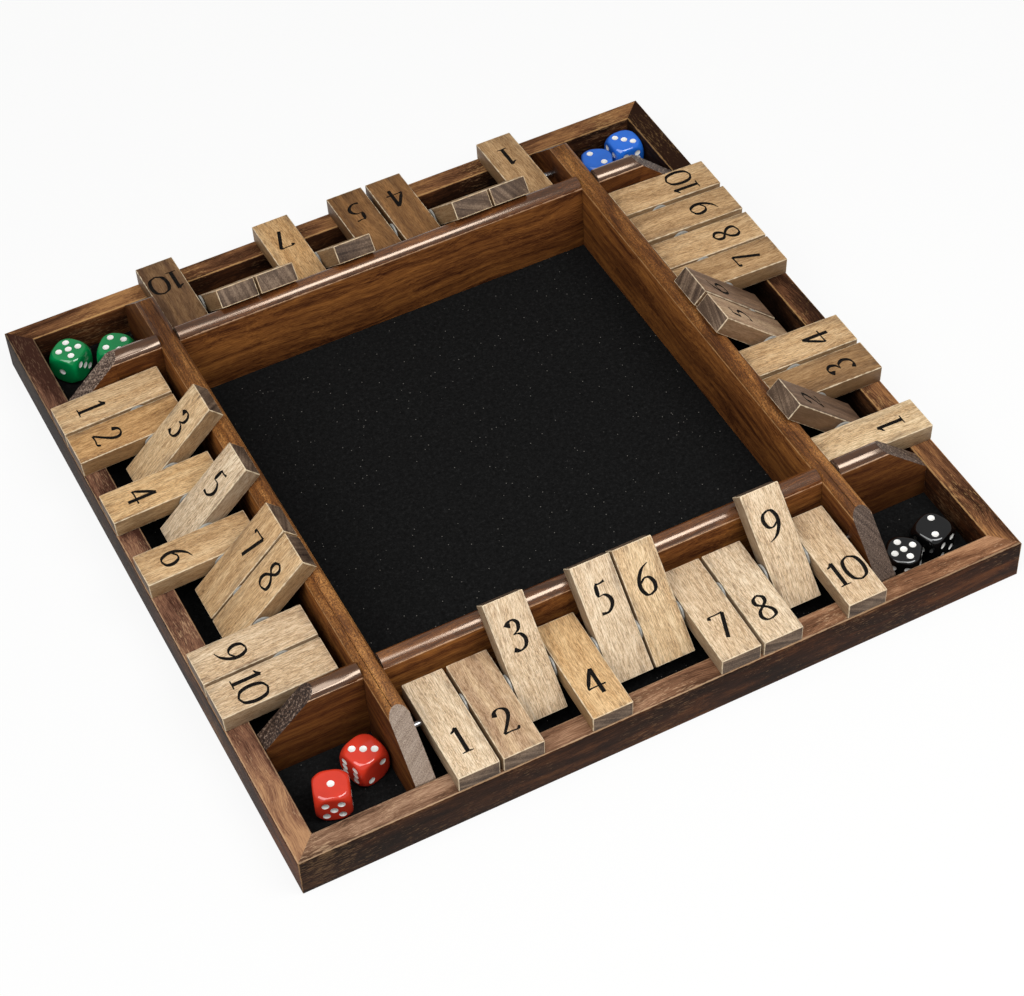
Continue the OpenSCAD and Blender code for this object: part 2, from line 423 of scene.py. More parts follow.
# %% End grain and char of the tiles
def tile_end_grain():
    """Sawn across: rings, open tubes and patches that soaked up more."""
    material, tree = new_material("rubberwood_end_grain")
    grain, place = stored(tree, "grain", "arris")
    rings = growth_rings(tree, grain, 0.4, 2)
    tubes = add(tree, "TexNoise", {"Vector": grain, "Scale": 1.4, "Detail": 3,
                                   "Roughness": 0.75})
    soak = add(tree, "TexNoise", {"Vector": grain, "Scale": 0.07, "Detail": 2})
    ringed = add(tree, "Mix", {0: 0.5, 1: tubes, 2: rings})
    mixed = add(tree, "Mix", {0: 0.35, 1: ringed, 2: soak})
    base = add(tree, "ValToRGB", {"Fac": mixed},
               stops=[(0.35, "#2b1d15"), (0.5, "#5e4b3c"), (0.65, "#967f69")])
    worn = add(tree, "MapRange", {"Value": edge_distance(tree, place), "From Min": 0.15,
                                  "From Max": 0.5, "To Min": 0.75, "To Max": 0})
    colour = add(tree, "Mix", {0: worn, 1: base, 2: linear("#d6c09b")}, data_type="RGBA")
    finish_surface(tree, colour, 0.62, 0.25, ringed, depth=0.15)
    return material


def char():
    """Charred wood: no gloss, with a little grey ash."""
    material, tree = new_material("charred_wood")
    grain, = stored(tree, "grain")
    ash = add(tree, "TexNoise", {"Vector": grain, "Scale": 1.8, "Detail": 3})
    colour = add(tree, "ValToRGB", {"Fac": ash}, stops=[(0.45, "#0b0a09"), (0.75, "#2a231e")])
    finish_surface(tree, colour, 0.8, 0.1)
    return material


# %% [markdown]
# The tiles come from three batches of timber: golden, pale and greyish, and a warm honey colour.
# Each batch has four shades, from its palest wood to its darkest.

# %% Three batches of tile wood
TILE_FACE, TILE_END, TILE_CHAR = 0, 1, 2
SHADES = {"golden": ["#f2dab3", "#dcb98b", "#aa875e", "#684c34"],
          "pale": ["#f4e2c6", "#e3c8a4", "#b8977a", "#6f5848"],
          "honey": ["#f1d3a4", "#dab07a", "#a77c4d", "#654528"]}
end_and_char = [tile_end_grain(), char()]
batches = {batch: [rubberwood("rubberwood_" + batch, shades)] + end_and_char
           for batch, shades in SHADES.items()}
print("tile woods:", list(batches))

# %% [markdown]
# ## Numbers
#
# The numerals have thick uprights and thin crossings, as a broad flat pen gives them. So each is
# drawn as pen strokes: a smooth path through a few points, with a strip laid along it that is
# wide where the path runs up or down and narrow where it runs across. A strip is a grid one
# square wide, moved onto the path and given depth by an extrusion.

# %% Shapes of the numerals
NUMBER_H = 13.6
DIGIT_GAP = 0.07
# Each numeral: its width, and its strokes as points in a box one unit high. A stroke's two last
# numbers are how thick its ends are: 0 is a point, 1 is as thick as the rest, and more is a blob
NUMERALS = {
    "0": (0.66, [([(0.33, 1), (0.1, 0.86), (0.02, 0.5), (0.1, 0.14), (0.33, 0)], 1, 1),
                 ([(0.33, 0), (0.56, 0.14), (0.64, 0.5), (0.56, 0.86), (0.33, 1)], 1, 1)]),
    "1": (0.44, [([(0.24, 0.99), (0.24, 0.02)], 1, 1),
                 ([(0.26, 0.99), (0.17, 0.9), (0.04, 0.83)], 1, 0.5),
                 ([(0.05, 0.02), (0.24, 0.03), (0.43, 0.02)], 0.6, 0.6)]),
    "2": (0.6, [([(0.05, 0.74), (0.12, 0.92), (0.29, 0.99), (0.47, 0.88), (0.47, 0.66),
                  (0.3, 0.38), (0.05, 0.05)], 1.3, 0.8),
                ([(0.04, 0.05), (0.3, 0.06), (0.5, 0.05), (0.59, 0.15)], 1.6, 0.6)]),
    "3": (0.54, [([(0.06, 0.82), (0.16, 0.96), (0.31, 0.98), (0.43, 0.84), (0.37, 0.64),
                   (0.17, 0.53)], 1.9, 0.5),
                 ([(0.17, 0.54), (0.38, 0.5), (0.5, 0.3), (0.42, 0.08), (0.22, 0), (0.03, 0.09)],
                  0.5, 1.9)]),
    "4": (0.66, [([(0.42, 1), (0.22, 0.64), (0.03, 0.29)], 0.6, 0.4),
                 ([(0.02, 0.29), (0.32, 0.3), (0.64, 0.3)], 1.7, 1.2),
                 ([(0.43, 1), (0.43, 0)], 1, 1)]),
    "5": (0.54, [([(0.15, 0.97), (0.31, 0.96), (0.48, 1)], 2, 1.4),
                 ([(0.16, 0.98), (0.12, 0.56)], 0.35, 0.35),
                 ([(0.12, 0.57), (0.33, 0.58), (0.48, 0.42), (0.47, 0.2), (0.28, 0.02),
                   (0.04, 0.03)], 0.5, 1.9)]),
    "6": (0.6, [([(0.55, 0.99), (0.3, 0.86), (0.1, 0.58), (0.06, 0.28), (0.17, 0.05),
                  (0.31, 0)], 0.4, 1),
                ([(0.31, 0), (0.5, 0.1), (0.55, 0.31), (0.45, 0.52), (0.28, 0.56), (0.1, 0.42)],
                 1, 0.5)]),
    "7": (0.58, [([(0.04, 0.84), (0.09, 0.94), (0.3, 0.95), (0.56, 0.96)], 0.9, 1.6),
                 ([(0.55, 0.96), (0.4, 0.5), (0.24, 0)], 0.9, 1)]),
    "8": (0.58, [([(0.3, 0.54), (0.12, 0.68), (0.13, 0.88), (0.3, 1)], 1, 1),
                 ([(0.3, 1), (0.46, 0.88), (0.45, 0.7), (0.3, 0.55), (0.1, 0.39), (0.04, 0.18),
                   (0.14, 0.03), (0.3, 0)], 1, 1),
                 ([(0.3, 0), (0.5, 0.09), (0.53, 0.26), (0.44, 0.42), (0.3, 0.54)], 1, 1)]),
    "9": (0.6, [([(0.05, 0.01), (0.3, 0.14), (0.5, 0.42), (0.54, 0.72), (0.43, 0.95),
                  (0.29, 1)], 0.4, 1),
                ([(0.29, 1), (0.1, 0.9), (0.05, 0.69), (0.15, 0.48), (0.32, 0.44), (0.5, 0.58)],
                 1, 0.5)]),
}
print("numerals:", len(NUMERALS), "drawn in", sum(len(s) for w, s in NUMERALS.values()), "strokes")

# %% [markdown]
# A stroke is as wide as its slope makes it, and narrows or swells towards its two ends. The
# digits of a number are set side by side, and the whole is centred on the face that it is burned
# into.

# %% Pen strokes
PEN_THICK = 1.92
PEN_THIN = 0.72
BURN_DEPTH = 0.25
STROKE_STEPS = 22
# The power of the slope that a width follows, and the share of a stroke that each end takes up
SWELL = 1.5
TAPER_SHARE = 0.25


def smooth_path(points, steps):
    """Points along a smooth curve through the given ones."""
    ends = [2 * points[0] - points[1]] + points + [2 * points[-1] - points[-2]]
    path = []
    for step in range(steps + 1):
        place = step / steps * (len(points) - 1)
        first = min(int(place), len(points) - 2)
        t = place - first
        a, b, c, d = ends[first:first + 4]
        path.append(0.5 * (2 * b + (c - a) * t + (2 * a - 5 * b + 4 * c - d) * t ** 2
                           + (3 * b - a - 3 * c + d) * t ** 3))
    return path


def add_stroke(cutters, points, start, end):
    """Lays one pen stroke on a grid strip and gives it depth through the surface."""
    path = smooth_path([Vector(point) * NUMBER_H for point in points], STROKE_STEPS)
    made = bmesh.ops.create_grid(cutters, x_segments=STROKE_STEPS, y_segments=1, size=0.5)
    for vertex in made["verts"]:
        step = round((vertex.co.x + 0.5) * STROKE_STEPS)
        along = (path[min(step + 1, STROKE_STEPS)] - path[max(step - 1, 0)]).normalized()
        share = step / STROKE_STEPS
        tip, from_tip = (start, share) if share < 0.5 else (end, 1 - share)
        taper = min(1, from_tip / TAPER_SHARE) * (1 - tip) + tip
        width = (PEN_THIN + (PEN_THICK - PEN_THIN) * abs(along.y) ** SWELL) * taper
        side = 1 if vertex.co.y > 0 else -1
        across = Vector((-along.y, along.x)) * side * width / 2
        vertex.co = (*(path[step] + across), -BURN_DEPTH)
    faces = list({face for vertex in made["verts"] for face in vertex.link_faces})
    grown = bmesh.ops.extrude_face_region(cutters, geom=faces)
    tops = [item for item in grown["geom"] if isinstance(item, bmesh.types.BMVert)]
    bmesh.ops.translate(cutters, vec=(0, 0, 2 * BURN_DEPTH), verts=tops)


def number_cutter(number, side):
    """The whole number as a mesh that leaves char, centred on the plane of one side."""
    cutters = bmesh.new()
    start = 0
    gap = DIGIT_GAP * NUMBER_H
    for digit in str(number):
        width, strokes = NUMERALS[digit]
        before = len(cutters.verts)
        for points, first, last in strokes:
            add_stroke(cutters, points, first, last)
        cutters.verts.ensure_lookup_table()
        bmesh.ops.translate(cutters, vec=(start, 0, 0), verts=cutters.verts[before:])
        start += width * NUMBER_H + gap
    bmesh.ops.translate(cutters, vec=((gap - start) / 2, -NUMBER_H / 2, 0), verts=cutters.verts)
    bmesh.ops.recalc_face_normals(cutters, faces=cutters.faces)
    bmesh.ops.transform(cutters, matrix=side, verts=cutters.verts)
    for face in cutters.faces:
        face.material_index = TILE_CHAR
    return new_mesh("number", cutters)


# %% [markdown]
# ## Tiles
#
# Ten blocks are made once, one for each number, about their rod and lying open. Each is a cube
# stretched to size, with small rounded arrises, a bore for the rod, and its number burned into
# both faces, so it can be read whether the tile is open or shut. Four copies of each are then
# turned into place.

# %% Make the ten blocks
ARRIS = 0.42
NUMBER_FROM_END = 17
CUTTER_PROUD = 1


def tile_block(number):
    """A tile about its rod, lying open, with X towards its number."""
    block = bmesh.new()
    bmesh.ops.create_cube(block, size=1)
    bmesh.ops.scale(block, vec=(REACH + TAIL, TILE_W, TILE_T), verts=block.verts)
    bmesh.ops.translate(block, vec=TILE_MIDDLE, verts=block.verts)
    for face in block.faces:
        face.material_index = TILE_END if abs(face.normal.x) > 0.9 else TILE_FACE
    bmesh.ops.bevel(block, geom=block.edges, offset=ARRIS, segments=2, profile=0.5,
                    affect="EDGES", material=TILE_FACE)
    cutters = bmesh.new()
    bore_r = ROD_R + BORE_PLAY / 2
    bmesh.ops.create_cone(cutters, cap_ends=True, segments=32, radius1=bore_r, radius2=bore_r,
                          depth=TILE_W + 2 * CUTTER_PROUD,
                          matrix=Matrix.Rotation(math.pi / 2, 4, "X"))
    along = REACH - NUMBER_FROM_END
    open_side = Matrix(((0, -1, 0, along), (1, 0, 0, 0), (0, 0, 1, TILE_T / 2), (0, 0, 0, 1)))
    shut_side = Matrix(((0, 1, 0, along), (1, 0, 0, 0), (0, 0, -1, -TILE_T / 2), (0, 0, 0, 1)))
    for side in (open_side, shut_side):
        cutters.from_mesh(number_cutter(number, side))
    return carve(block, cutters, batches["golden"], crossing=True)


blocks = {}
for number in NUMBERS:
    blocks[number] = tile_block(number)
    bmesh.ops.triangulate(blocks[number], faces=blocks[number].faces)
print("triangles in a tile:", [len(block.faces) for block in blocks.values()])

# %% [markdown]
# ## Four rows of tiles
#
# Each row is the front row turned by quarter turns, and each tile takes its place along the row
# from its own node. A shut tile is turned further about its rod, by the whole of its swing. Every
# tile gets its own patch of timber. Tiles come from mixed offcuts, so a row has its own usual
# tone, some tiles stray from it, and the three batches are mixed. Three shut tiles of the right
# row are also browner and greyer as painted shade.

# %% Turn forty copies into place
ROW_TONE = {"front": 0.34, "right": 0.5, "back": 0.56, "left": 0.4}
# Some tiles were sawn from browner boards, and a few from paler ones. For the right row's shut
# tiles 2, 5 and 6, whose faces turn away from the lamps, the browner tone is partly painted shade.
BROWNER_AND_SHADED = {"tile_back_10": 0.42, "tile_back_4": 0.44, "tile_back_5": 0.42, "tile_back_7": -0.1,
           "tile_left_2": 0.14, "tile_left_5": -0.15, "tile_left_10": -0.1,
           "tile_right_1": -0.25, "tile_right_2": 0.62, "tile_right_3": 0.32,
           "tile_right_5": 0.24, "tile_right_6": 0.45, "tile_right_7": 0.22,
           "tile_right_10": -0.12, "tile_front_2": 0.2, "tile_front_4": -0.1,
           "tile_front_6": -0.2}
# The pale, greyish batch on the right row's shut tiles 2, 5 and 6 is partly the painted cool shade
# on their faces
BATCH = {"tile_front_4": "honey", "tile_front_6": "golden", "tile_left_2": "honey",
         "tile_left_4": "honey", "tile_back_4": "honey", "tile_back_5": "honey",
         "tile_back_7": "honey", "tile_left_5": "pale", "tile_left_9": "pale",
         "tile_left_10": "pale", "tile_right_2": "pale", "tile_right_5": "pale",
         "tile_right_6": "pale"}
TONE_SPREAD = 0.12

for quarter, row in enumerate(ROWS):
    for number, middle in zip(NUMBERS, middles_along(quarter, row)):
        name = f"tile_{row}_{number}"
        shut = hinges[name]["range_deg"][0] < 0
        turn = OPEN_SLOPE - SWING if shut else OPEN_SLOPE
        place = to_front(-quarter) @ Matrix.Translation((middle, -PIVOT_OUT, PIVOT_Z)) \
            @ Matrix.Rotation(-math.pi / 2, 4, "Z") @ Matrix.Rotation(turn, 4, "Y")
        shape = blocks[number].copy()
        bmesh.ops.transform(shape, matrix=place, verts=shape.verts)
        woods = batches[BATCH.get(name, "pale" if row == "front" else "golden")]
        tile = make_piece(name + "_block", shape, woods, name, smooth=35)
        patch = Vector([chance.uniform(0, TIMBER) for axis in range(3)])
        tone = ROW_TONE[row] + BROWNER_AND_SHADED.get(name, 0) + chance.uniform(-TONE_SPREAD, TONE_SPREAD)
        write_grain(tile.data, place.inverted(), patch, tone)
        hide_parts(name)
print("tiles placed:", len(NUMBERS) * len(ROWS))

# %% [markdown]
# ## Walnut stain for the case
#
# Rails and dividers are planed hardwood under a thin dark walnut stain and a wiped varnish. The
# section of each board is known, so its arrises are points in that section, and the stain rubbed
# off along them is drawn by the distance from those points. The outer corners of the frame wear
# too.

# %% Wear of the boards
RUBBED = 0.5
CORNER_INSET = 0.1


def wear_mask(tree, place, arrises):
    """1 on the arrises of a board's section, fading unevenly to 0 over about RUBBED mm."""
    section = add(tree, "VectorMath", {0: place, 1: (0, 1, 1)}, operation="MULTIPLY")
    plan = add(tree, "VectorMath", {0: place, 1: (1, 1, 0)}, operation="MULTIPLY")
    plan = add(tree, "VectorMath", {0: plan}, operation="ABSOLUTE")
    corner = CASE_HALF - CORNER_INSET
    gaps = [add(tree, "VectorMath", {0: section, 1: (0, out, height)}, operation="DISTANCE")
            for out, height in arrises]
    gaps.append(add(tree, "VectorMath", {0: plan, 1: (corner, corner, 0)}, operation="DISTANCE"))
    nearest = gaps[0]
    for gap in gaps[1:]:
        nearest = add(tree, "Math", {0: nearest, 1: gap}, operation="MINIMUM")
    chips = add(tree, "TexNoise", {"Vector": place, "Scale": 0.22, "Detail": 4, "Roughness": 0.7})
    spread = add(tree, "MapRange", {"Value": chips, "From Min": 0.35, "From Max": 0.7,
                                    "To Min": 0.3 * RUBBED, "To Max": 1.5 * RUBBED})
    share = add(tree, "Math", {0: nearest, 1: spread}, operation="DIVIDE")
    return add(tree, "MapRange", {"Value": share, "From Min": 0.5, "From Max": 1,
                                  "To Min": 1, "To Max": 0})


# %% [markdown]
# The stain dyes the fibres unevenly, so brown streaks run along each board. Four layers change it
# from place to place, each a thin layer over the last: sun and hands warm the paler ends, painted
# shade darkens the walls inside the pockets, partly as a darker stain, varnish gathers in blots,
# and where the planed surface has torn, the stain didn't take and short pale flecks show.

# %% Layers over the stain, and painted shade in the pockets
def warm_ends(tree, colour, tone, strength):
    """A warmer stain towards the paler end of a board."""
    glow = add(tree, "MapRange", {"Value": tone, "From Min": 0.43, "From Max": 0.56,
                                  "To Max": strength})
    return add(tree, "Mix", {0: glow, 1: colour, 2: linear("#ffd9ad")},
               data_type="RGBA", blend_type="MULTIPLY")


# Painted shade: inside the pockets, walls and ridges are mixed towards their darkest shade
def darken_pockets(tree, colour, place, dark, strength):
    """Painted shade beyond the crossings, where a divider is the wall of a pocket, partly a darker
    stain.
    """
    along = add(tree, "SeparateXYZ", {"Vector": place}).outputs["X"]
    outward = add(tree, "Math", {0: along}, operation="ABSOLUTE")
    pocket_shade = add(tree, "MapRange", {"Value": outward, "From Min": WALL_IN - 2,
                                    "From Max": WALL_OUT + 2, "To Max": strength})
    return add(tree, "Mix", {0: pocket_shade, 1: colour, 2: linear(dark)}, data_type="RGBA")


def blot(tree, colour, grain, dark, strength):
    """Small dark blots."""
    blots = add(tree, "TexNoise", {"Vector": grain, "Scale": 1.3, "Detail": 4,
                                   "Roughness": 0.75})
    mask = add(tree, "MapRange", {"Value": blots, "From Min": 0.44, "From Max": 0.6,
                                  "To Max": strength})
    return add(tree, "Mix", {0: mask, 1: colour, 2: linear(dark)}, data_type="RGBA")


def tear(tree, colour, grain, tone, pale, strength):
    """Short pale flecks along the fibres, in patches, more of them where the board is pale."""
    torn = fibrous(tree, grain, 0.32, 2.1, roughness=0.6)
    where = add(tree, "TexNoise", {"Vector": grain, "Scale": 0.03, "Detail": 2})
    both = add(tree, "Mix", {0: 0.4, 1: torn, 2: where})
    most = add(tree, "Math", {0: tone, 1: strength}, operation="MULTIPLY")
    fleck = add(tree, "MapRange", {"Value": both, "From Min": 0.57, "From Max": 0.64,
                                   "To Max": most})
    return add(tree, "Mix", {0: fleck, 1: colour, 2: linear(pale)}, data_type="RGBA")


# %% [markdown]
# A finish is then a few choices. *fade* is how far the tone of the board moves its colour, and
# *warm*, *pocket*, *mottle* and *flecks* are how strong each layer is; *pocket* is painted shade
# inside the pockets. *worn* is the colour of the bare wood and *wear* how bare the arrises are.
# *gloss* runs from a wiped matt face, 0, to a brushed varnish, 1, which fills the fibres and so
# has less relief.

# %% Walnut-stained boards
def walnut_stain(name, shades, arrises, flecks=0.0, mottle=0.0, gloss=0.0, worn="#b98f66",
                 wear=0.6, fade=0.0, pocket=0.0, warm=0.0):
    """Stained wood with three shades, from its darkest streaks to its palest."""
    material, tree = new_material(name)
    grain, place, tone = stored(tree, "grain", "arris", "tone")
    wavy = bend_grain(tree, grain, 0.015, 2, 14)
    figure = fibrous(tree, wavy, 0.012, 0.3, detail=3, roughness=0.6)
    fibre = fibrous(tree, wavy, 0.13, 3.2, detail=4, roughness=0.7)
    soaked = fibrous(tree, wavy, 0.02, 0.07)
    streaky = add(tree, "Mix", {0: 0.55, 1: figure, 2: fibre})
    uneven = add(tree, "Mix", {0: 0.15 if pocket else 0.35, 1: streaky, 2: soaked})
    faded = add(tree, "Math", {0: tone, 1: fade, 2: uneven}, operation="MULTIPLY_ADD")
    level = add(tree, "Math", {0: faded, 1: fade / 2}, operation="SUBTRACT")
    colour = add(tree, "ValToRGB", {"Fac": level},
                 stops=[(0.41, shades[0]), (0.5, shades[1]), (0.6, shades[2])])
    if warm:
        colour = warm_ends(tree, colour, tone, warm)
    # Painted shade inside the pockets, partly a darker stain
    if pocket:
        colour = darken_pockets(tree, colour, place, shades[0], pocket)
    if mottle:
        colour = blot(tree, colour, grain, shades[0], mottle)
    if flecks:
        colour = tear(tree, colour, grain, tone, worn, flecks)
    rubbed = add(tree, "Math", {0: wear_mask(tree, place, arrises), 1: wear},
                 operation="MULTIPLY")
    colour = add(tree, "Mix", {0: rubbed, 1: colour, 2: linear(worn)}, data_type="RGBA")
    shader = finish_surface(tree, colour, 0.65 - 0.45 * gloss, 0.1 + 0.75 * gloss, fibre,
                            strength=0.15 if gloss else 0.5)
    shader.inputs["Specular Tint"].default_value = linear("#ffe6cf")
    shader.inputs["IOR"].default_value = 1.5 + 0.5 * gloss
    return material


# %% [markdown]
# The sloped ends of the dividers are sawn across the fibres, so they show fine ring lines and
# open tubes. Stain soaks in there and turns the wood nearly black, while sanding dust stays pale
# in the tubes, so they look sparkling. The front and back boards kept that coarse dark sawn face,
# the left one was sanded fine and stayed pale, and the right one was scraped.

# %% Sawn ends of the dividers
def sawn_end(name, shades, arrises, fineness):
    """Sawn end grain, with so many tubes to the mm. Real tubes are finer than would show."""
    material, tree = new_material(name)
    grain, place, tone = stored(tree, "grain", "arris", "tone")
    rings = growth_rings(tree, grain, 0.8, 3)
    tubes = add(tree, "TexNoise", {"Vector": grain, "Scale": fineness, "Detail": 3,
                                   "Roughness": 0.75})
    mixed = add(tree, "Mix", {0: 0.2, 1: tubes, 2: rings})
    shifted = add(tree, "Math", {0: tone, 1: 0.5}, operation="SUBTRACT")
    toned = add(tree, "Math", {0: shifted, 1: 0.5, 2: mixed}, operation="MULTIPLY_ADD")
    base = add(tree, "ValToRGB", {"Fac": toned},
               stops=[(0.38, shades[0]), (0.5, shades[1]), (0.66, shades[2])])
    rubbed = add(tree, "Math", {0: wear_mask(tree, place, arrises), 1: 0.7},
                 operation="MULTIPLY")
    colour = add(tree, "Mix", {0: rubbed, 1: base, 2: linear("#b9977a")}, data_type="RGBA")
    finish_surface(tree, colour, 0.5, 0.3, tubes, strength=0.8, depth=0.3)
    return material


# %% [markdown]
# ## Finishes of the case
#
# Hands and sun have worked on the tops of the rails unevenly, so each rail has its own shades,
# from dark to pale, and its own pale and warm end. The ridges of the front and back dividers are
# varnished and shine, and those of the left and right ones are worn dull. Inside a pocket, walls
# and ridges are darker: painted shade, partly a darker stain.

# %% Choose the finishes
RAIL_ARRISES = [(RAIL_IN + 0.5, RAIL_TOP - 0.2), (CASE_HALF - 0.4, RAIL_TOP - 0.4)]
WALL_ARRISES = [(WALL_IN, SPRING_Z), (WALL_OUT, SPRING_Z)]
rail_side = walnut_stain("walnut_stain_rail", ["#1a0f0a", "#362015", "#654026"], RAIL_ARRISES,
                         flecks=0.6, fade=0.3, warm=0.7)
rail_tops = {
    "front": walnut_stain("walnut_stain_weathered", ["#4a3326", "#82614b", "#b8967a"],
                          RAIL_ARRISES, flecks=1.2, worn="#cba986", fade=0.2, warm=0.6),
    "left": walnut_stain("walnut_stain_rubbed", ["#3a221a", "#7a5643", "#b28a66"],
                         RAIL_ARRISES, flecks=1.1, worn="#c9a57f", fade=0.3, warm=0.15),
    "right": walnut_stain("walnut_stain_dark", ["#29170e", "#69452e", "#b58150"],
                          RAIL_ARRISES, flecks=1.1, worn="#c79c66", fade=0.5),
    "back": walnut_stain("walnut_stain_golden", ["#3b2214", "#704a30", "#b08050"],
                         RAIL_ARRISES, flecks=1.1, worn="#c79c66", fade=0.2)}
# pocket: painted shade on the walls inside the pockets
wall_side = walnut_stain("walnut_stain_wall", ["#3b1d0f", "#704321", "#98622f"], WALL_ARRISES,
                         pocket=0.5)
# pocket: painted shade on the varnished ridges inside the pockets
varnished = walnut_stain("walnut_stain_varnished", ["#331a0e", "#64381c", "#925b2c"],
                         WALL_ARRISES, mottle=0.35, gloss=1.0, worn="#e0b795", wear=0.9,
                         pocket=0.7)
# Its fade carries the left divider's paler front end, partly a painted highlight
handled = walnut_stain("walnut_stain_handled", ["#432310", "#875426", "#c1874a"],
                       WALL_ARRISES, mottle=0.85, gloss=0.25, worn="#c69a63", fade=0.6)
ridges = {"front": varnished, "back": varnished, "left": handled, "right": handled}
coarse_end = sawn_end("walnut_end_grain", ["#1b110c", "#483429", "#b29c8a"], WALL_ARRISES, 1.0)
wall_ends = {
    "front": coarse_end, "back": coarse_end,
    "left": sawn_end("walnut_end_sanded", ["#4d3d33", "#8c7868", "#b7a798"], WALL_ARRISES, 3.2),
    "right": sawn_end("walnut_end_scraped", ["#281c16", "#58463a", "#8c7a6c"], WALL_ARRISES, 2.6)}
print("rail tops:", len(rail_tops), "and sawn ends:", len(set(wall_ends.values())), "finishes")

# %% [markdown]
# ## Boards of the case
#
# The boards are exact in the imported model, down to the halving joints and the sockets for the
# rods, so each starts as a copy of it. The copy's loose triangles are merged and its flat faces
# dissolved into one face each. Then the long sharp edges get a fine bevel, because sanded wood
# has no knife edges and a bevel catches a line of light.

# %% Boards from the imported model
SANDED = 0.22
SHORTEST_SANDED = 0.6
SAME_POINT = 0.002
FLAT_WITHIN = math.radians(0.5)
SHARP_BEYOND = math.radians(40)


def board_from(node):
    """A merged copy of a CAD board in millimetres, its long convex edges sanded."""
    board = bmesh.new()
    board.from_mesh(frame["nodes"][node].data)
    bmesh.ops.scale(board, vec=(1 / MM, 1 / MM, 1 / MM), verts=board.verts)
    bmesh.ops.remove_doubles(board, verts=board.verts, dist=SAME_POINT)
    bmesh.ops.dissolve_limit(board, angle_limit=FLAT_WITHIN, verts=board.verts,
                             edges=board.edges)
    sharp = [edge for edge in board.edges if len(edge.link_faces) == 2 and edge.is_convex
             and edge.calc_face_angle() > SHARP_BEYOND
             and edge.calc_length() > SHORTEST_SANDED]
    bmesh.ops.bevel(board, geom=sharp, offset=SANDED, segments=2, profile=0.5,
                    affect="EDGES", material=-1)
    bmesh.ops.triangulate(board, faces=board.faces)
    return board


def board_frame(quarter):
    """Turns a place on the table into (along, out from the middle, up) for one side."""
    return Matrix.Diagonal((1, -1, 1, 1)) @ to_front(quarter)


# %% [markdown]
# Each board is cut from its own length of timber, with X along the board. A face that looks along
# the board is an end, one above the spring line is the ridge, and the rest is wall. The two tones
# of a board are how pale it is at its player's left and right ends. The paler front end of the
# left divider's ridge is partly a painted highlight.

# %% Make rails and dividers
RAIL_TONES = {"front": (0.42, 0.55), "right": (0.54, 0.15), "back": (0.45, 0.5),
              "left": (0.1, 0.6)}
# The left divider's second, paler tone also paints a highlight on its ridge's front end
WALL_TONES_AND_HIGHLIGHT = {"front": (0.42, 0.5), "right": (0.46, 0.5), "back": (0.5, 0.55),
              "left": (0.48, 0.57)}
SIDE, TOP, END = 0, 1, 2
# Where the boards lay in the log: the step from rail to rail and from divider to divider, and
# how far the dividers lay beside the rails
RAIL_STEP, WALL_STEP, WALL_ASIDE = 70, 90, 40

for quarter, row in enumerate(ROWS):
    to_board = board_frame(quarter)
    rail = board_from("rail_" + row)
    for face in rail.faces:
        face.material_index = TOP if face.normal.z > 0.5 else SIDE
    piece = make_piece(f"rail_{row}_board", rail, [rail_side, rail_tops[row]], "case", smooth=35)
    patch = Vector((chance.uniform(0, TIMBER), 0, RAIL_STEP * quarter))
    write_grain(piece.data, to_board, patch, *RAIL_TONES[row])
    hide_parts("rail_" + row)

    wall = board_from("divider_" + row)
    for face in wall.faces:
        if abs((to_board.to_3x3() @ face.normal).x) > 0.4:
            face.material_index = END
        elif face.calc_center_median().z > SPRING_Z:
            face.material_index = TOP
    finishes = [wall_side, ridges[row], wall_ends[row]]
    piece = make_piece(f"divider_{row}_board", wall, finishes, "case", smooth=20)
    patch = Vector((chance.uniform(0, TIMBER), WALL_ASIDE, WALL_STEP * quarter))
    write_grain(piece.data, to_board, patch, *WALL_TONES_AND_HIGHLIGHT[row])
    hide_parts("divider_" + row)
print("boards:", 2 * len(ROWS))

# %% [markdown]
# ## Floor of the tray
#
# The floor is black craft felt glued over a hardboard panel. Felt is matted fibres: very dark,
# quite without gloss, with a faint pile, and it holds on to pale lint. The panel only shows from
# below, where it is raw pressed board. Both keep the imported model's shape, so they only get a
# material. Their patterns read Object coordinates, so their scales are waves to the metre.

# %% Felt and panel
def dress(node, material):
    """Gives a CAD node that keeps its own shape a new material."""
    for slot in frame["nodes"][node].material_slots:
        slot.material = material


def felt():
    """Matt black fibres, with specks of lint. The fibres are drawn thicker than they are."""
    material, tree = new_material("craft_felt")
    place = add(tree, "TexCoord").outputs["Object"]
    fibre = add(tree, "TexNoise", {"Vector": place, "Scale": 1100, "Detail": 4, "Roughness": 0.8})
    pile = add(tree, "TexNoise", {"Vector": place, "Scale": 500, "Detail": 2})
    mixed = add(tree, "Mix", {0: 0.3, 1: fibre, 2: pile})
    base = add(tree, "ValToRGB", {"Fac": mixed},
               stops=[(0.35, "#0b0b0b"), (0.55, "#171717"), (0.75, "#2a2a2a")])
    lint = add(tree, "TexVoronoi", {"Vector": place, "Scale": 420, "Randomness": 1})
    picked = add(tree, "SeparateXYZ", {"Vector": lint.outputs["Color"]})
    rare = add(tree, "Math", {0: picked, 1: 0.7}, operation="GREATER_THAN")
    dot = add(tree, "MapRange", {"Value": lint, "From Min": 0.05, "From Max": 0.12,
                                 "To Min": 0.7, "To Max": 0})
    speck = add(tree, "Math", {0: rare, 1: dot}, operation="MULTIPLY")
    colour = add(tree, "Mix", {0: speck, 1: base, 2: linear("#8f8b84")}, data_type="RGBA")
    finish_surface(tree, colour, 0.95, 0.05, mixed, strength=0.8, depth=0.3)
    return material


